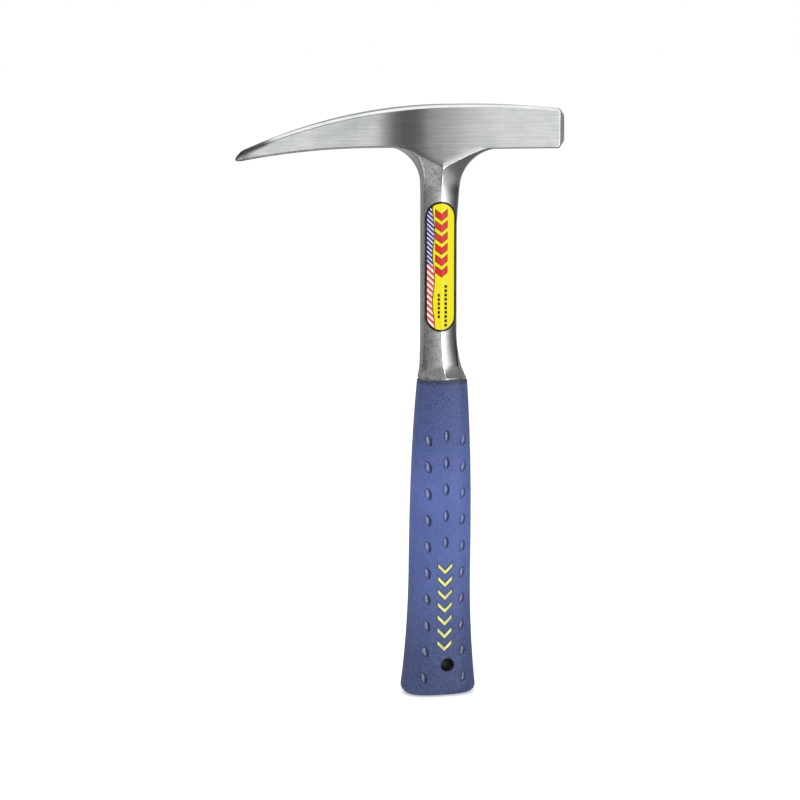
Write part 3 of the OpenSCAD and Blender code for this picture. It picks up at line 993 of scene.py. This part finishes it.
labelInk = {"yellow": linear(232, 220, 3), "black": linear(18, 16, 14), "blue": linear(52, 44, 150),
            "red": linear(206, 26, 24), "darkRed": linear(122, 18, 20), "white": linear(244, 244, 240),
            "pink": linear(232, 150, 150), "dust": linear(150, 140, 90), "scuff": linear(190, 190, 180),
            "borderWidth": 1.15, "bandEdge": -4.5, "bandLine": 0.5, "bandWave": 0.55,
            "hatchPitch": 0.3, "dashPitch": 0.4, "middle": 0.1, "chevronSlope": -0.75,
            "chevronPitch": 6.2, "chevronHalf": 3.6, "chevronCore": 3.2, "chevronTop": 31.0}
labelRules = ((1.8, 3.4, -33.3, -9.5), (-2.0, -0.8, -28.6, -14.3))  # left, right, bottom and top of each


def makeLabelFilm():
    material, tree, surface, place = newMaterial("labelFilm")
    parts = axes(tree, place)
    x = times(tree, parts[0], 1000.0)
    z = timesPlus(tree, parts[2], 1000.0, -label["height"])
    radius = label["width"] / 2
    straight = label["length"] / 2 - radius
    beyond = maths(tree, "MAXIMUM", maths(tree, "SUBTRACT", maths(tree, "ABSOLUTE", z), straight), 0.0)
    distance = maths(tree, "SQRT", maths(tree, "ADD", times(tree, x, x),
                                        times(tree, beyond, beyond)))
    # a plain band of diagonal hatching down one side, in two colour schemes
    wave = maths(tree, "SINE", times(tree, z, 0.24))
    edge = timesPlus(tree, wave, labelInk["bandWave"], x)
    upper = ramp(tree, z, 1.0, 1.6)
    inBand = ramp(tree, edge, labelInk["bandEdge"] - 0.15, labelInk["bandEdge"] + 0.15, 1.0, 0.0)
    outline = between(tree, edge, labelInk["bandEdge"], labelInk["bandEdge"] + labelInk["bandLine"])
    pitch = labelInk["hatchPitch"]
    stripePhase = maths(tree, "FRACT", timesPlus(tree, z, pitch, times(tree, x, pitch)))
    stripes = labelInk["white"]
    for low, high, ink in ((0.3, 0.72, "red"), (0.05, 0.3, "pink")):
        stripes = mixColours(tree, between(tree, stripePhase, low, high, 0.08), stripes, labelInk[ink])
    pitch = labelInk["dashPitch"]
    dashAlong = maths(tree, "FRACT", timesPlus(tree, z, pitch, times(tree, x, pitch)))
    dashes = between(tree, dashAlong, 0.3, 0.6, 0.1)
    field = mixColours(tree, dashes, labelInk["blue"], labelInk["white"])
    band = mixColours(tree, upper, stripes, field)
    colour = mixColours(tree, inBand, labelInk["yellow"], band)
    rim = mixColours(tree, upper, labelInk["darkRed"], labelInk["black"])
    colour = mixColours(tree, outline, colour, rim)
    # a column of plain chevrons with dark edges
    aside = maths(tree, "SUBTRACT", x, labelInk["middle"])
    fold = timesPlus(tree, maths(tree, "ABSOLUTE", aside), labelInk["chevronSlope"], z)
    phase = maths(tree, "FRACT", timesPlus(tree, fold, 1 / labelInk["chevronPitch"], 20.0))
    column = times(tree,
                   between(tree, aside, -labelInk["chevronHalf"], labelInk["chevronHalf"]),
                   between(tree, fold, -labelInk["chevronPitch"], labelInk["chevronTop"], 0.05))
    core = times(tree,
                 between(tree, aside, -labelInk["chevronCore"], labelInk["chevronCore"]),
                 between(tree, phase, 0.12, 0.66, 0.02))
    whole = times(tree, column, between(tree, phase, 0.05, 0.73, 0.02))
    colour = mixColours(tree, whole, colour, labelInk["darkRed"])
    colour = mixColours(tree, times(tree, whole, core), colour, labelInk["red"])
    # two dashed black rules
    dashed = between(tree, maths(tree, "FRACT", times(tree, z, 0.42)), 0.1, 0.8, 0.05)
    for low, high, bottom, top in labelRules:
        rule = times(tree, between(tree, x, low, high, 0.06), between(tree, z, bottom, top, 0.06))
        colour = mixColours(tree, times(tree, rule, dashed), colour, labelInk["black"])
    inside = radius - labelInk["borderWidth"]
    border = ramp(tree, distance, inside - 0.1, inside + 0.1)
    colour = mixColours(tree, border, colour, labelInk["black"])
    wear = useGroup(tree, edgeWear, place=place, low=0.53, high=0.62, patches=400.0)
    grain = useGroup(tree, fineGrain, place=place, scale=700.0, smudge=60.0)
    dusty = ramp(tree, grain.outputs["tone"], 0.4, 0.75, 0.0, 0.1)
    colour = mixColours(tree, dusty, colour, labelInk["dust"])
    scuffs = times(tree, wear.outputs["edge"], 0.4)
    colour = mixColours(tree, scuffs, colour, labelInk["scuff"])
    plug(tree, surface.inputs["Base Color"], colour)
    plug(tree, surface.inputs["Roughness"], timesPlus(tree, grain.outputs["tone"], 0.14, 0.3))
    plug(tree, surface.inputs["Coat Weight"], 0.1)
    plug(tree, surface.inputs["Specular IOR Level"], 0.25)
    plug(tree, surface.inputs["Coat Roughness"], 0.18)
    addBump(tree, surface, grain.outputs["tone"], 0.15, 0.00015)
    return material


markLook = {"paint": linear(244, 240, 130), "edge": linear(40, 58, 72), "worn": linear(206, 206, 120),
            "low": 31.0, "pitch": 7.3, "stroke": 3.4, "half": 4.5, "outline": 0.55, "start": 0.2}


def makeMarkPaint():
    material, tree, surface, place = newMaterial("markPaint")
    parts = axes(tree, place)
    z = times(tree, parts[2], 1000.0)
    lean = grip["lean"] / grip["length"]
    leaning = times(tree, z, -lean)
    x = maths(tree, "ABSOLUTE", timesPlus(tree, parts[0], 1000.0, leaning))
    rise = maths(tree, "SUBTRACT", z, x)  # each arm climbs a millimetre for each millimetre outwards
    low = markLook["low"] - markLook["half"] / 2 - markLook["stroke"] - markLook["start"]
    cells = maths(tree, "DIVIDE", maths(tree, "SUBTRACT", rise, low), markLook["pitch"])
    along = times(tree, maths(tree, "FRACT", cells), markLook["pitch"])
    line = markLook["outline"] * 1.3
    armStart, armEnd = markLook["start"] + line, markLook["half"] - markLook["outline"]
    core = times(tree,
                 between(tree, along, armStart, armStart + markLook["stroke"] - 2 * line, 0.1),
                 ramp(tree, x, armEnd - 0.1, armEnd + 0.1, 1.0, 0.0))
    wear = useGroup(tree, edgeWear, place=place, low=0.52, high=0.6, patches=300.0)
    grain = useGroup(tree, fineGrain, place=place, scale=1200.0, smudge=160.0)
    worn = ramp(tree, grain.outputs["tone"], 0.42, 0.66)
    paint = mixColours(tree, worn, markLook["paint"], markLook["worn"])
    colour = mixColours(tree, core, markLook["edge"], paint)
    scuffs = times(tree, wear.outputs["edge"], 0.25)
    colour = mixColours(tree, scuffs, colour, vinylLook["scuffed"])
    plug(tree, surface.inputs["Base Color"], colour)
    plug(tree, surface.inputs["Roughness"], timesPlus(tree, grain.outputs["tone"], 0.2, 0.34))
    addBump(tree, surface, grain.outputs["height"], 0.25, 0.0001)
    return material


print("finishes ready")


def paintFaces(piece, materials, choose):
    piece.data.materials.clear()
    for material in materials:
        piece.data.materials.append(material)
    for face in piece.data.polygons:
        face.material_index = choose(face)


def isGround(face):
    onHead = face.center.z > underside + 0.5
    flat = abs(face.normal.y) > 0.985 and face.center.z > neckStart + 12
    return 0 if onHead or (flat and onHeadFlat(face)) else 1


def onHeadFlat(face):
    return abs(abs(face.center.y) - halfAt(face.center.x)) < 0.3


def isBore(face):
    reach = math.hypot(face.center.x - lanyard["x"], face.center.z - lanyard["z"])
    return 1 if reach < lanyard["bore"] / 2 + 0.15 else 0


paintFaces(hammer, (makeBrushedSteel(), makePolishedSteel()), isGround)
finishPiece(hammer, "forged_hammer")
paintFaces(handleGrip, (makeGripVinyl(), makeBoreShadeVinyl()), isBore)
finishPiece(handleGrip, "grip", 40, False)
paintFaces(shankLabel, (makeLabelFilm(),), lambda face: 0)
finishPiece(shankLabel, "shank_label", 40, False)
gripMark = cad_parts["grip_mark"]
gripMark.data.materials.clear()
gripMark.data.materials.append(makeMarkPaint())
print("pieces finished")
